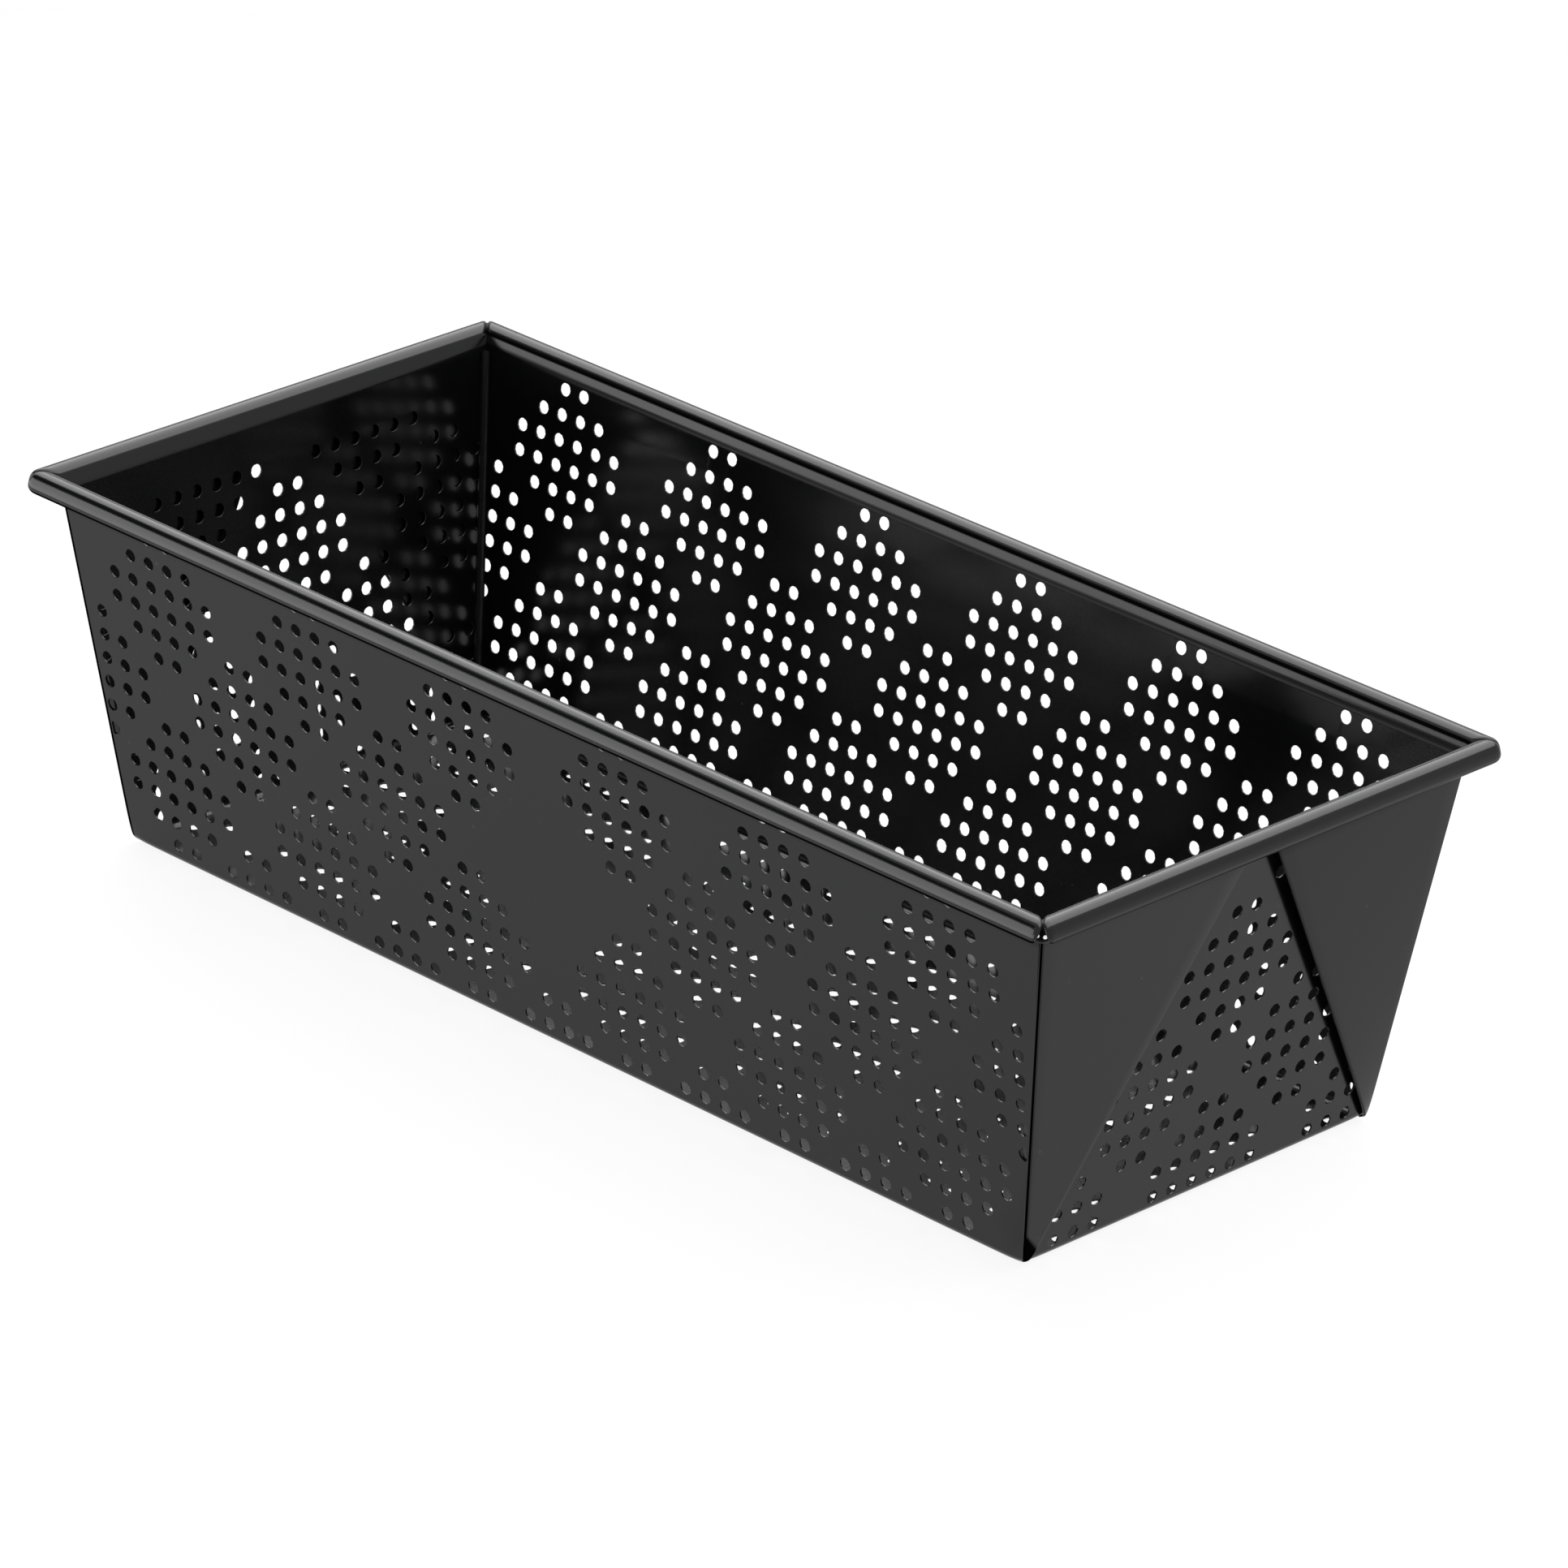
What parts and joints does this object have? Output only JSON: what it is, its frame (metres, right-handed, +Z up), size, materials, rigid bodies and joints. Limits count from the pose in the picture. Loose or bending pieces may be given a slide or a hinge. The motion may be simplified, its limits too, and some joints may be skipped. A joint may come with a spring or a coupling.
{
  "type": "perforated loaf pan",
  "caption": "Long open-topped loaf pan with leaning perforated walls, folded corner pleats and a rolled rim round a wire, for baking or draining.",
  "frame": {"origin": "middle of the flat underside, at the height the pan stands on", "axes": "+Z up, X along the long side, the front long wall with the bare middle faces -Y"},
  "size_m": [0.3, 0.1358, 0.086],
  "materials": {
    "coated_sheet": "satin black non-stick coating",
    "wire_steel": "drawn wire, dull"
  },
  "bodies": {
    "root": {"floor_panel": "coated_sheet", "front_wall": "coated_sheet", "back_wall": "coated_sheet", "left_end_wall": "coated_sheet", "right_end_wall": "coated_sheet", "front_left_pleat": "coated_sheet", "front_right_pleat": "coated_sheet", "back_left_pleat": "coated_sheet", "back_right_pleat": "coated_sheet", "front_rim": "coated_sheet", "back_rim": "coated_sheet", "left_rim": "coated_sheet", "right_rim": "coated_sheet", "rim_wire": "wire_steel"}
  },
  "joints": []
}
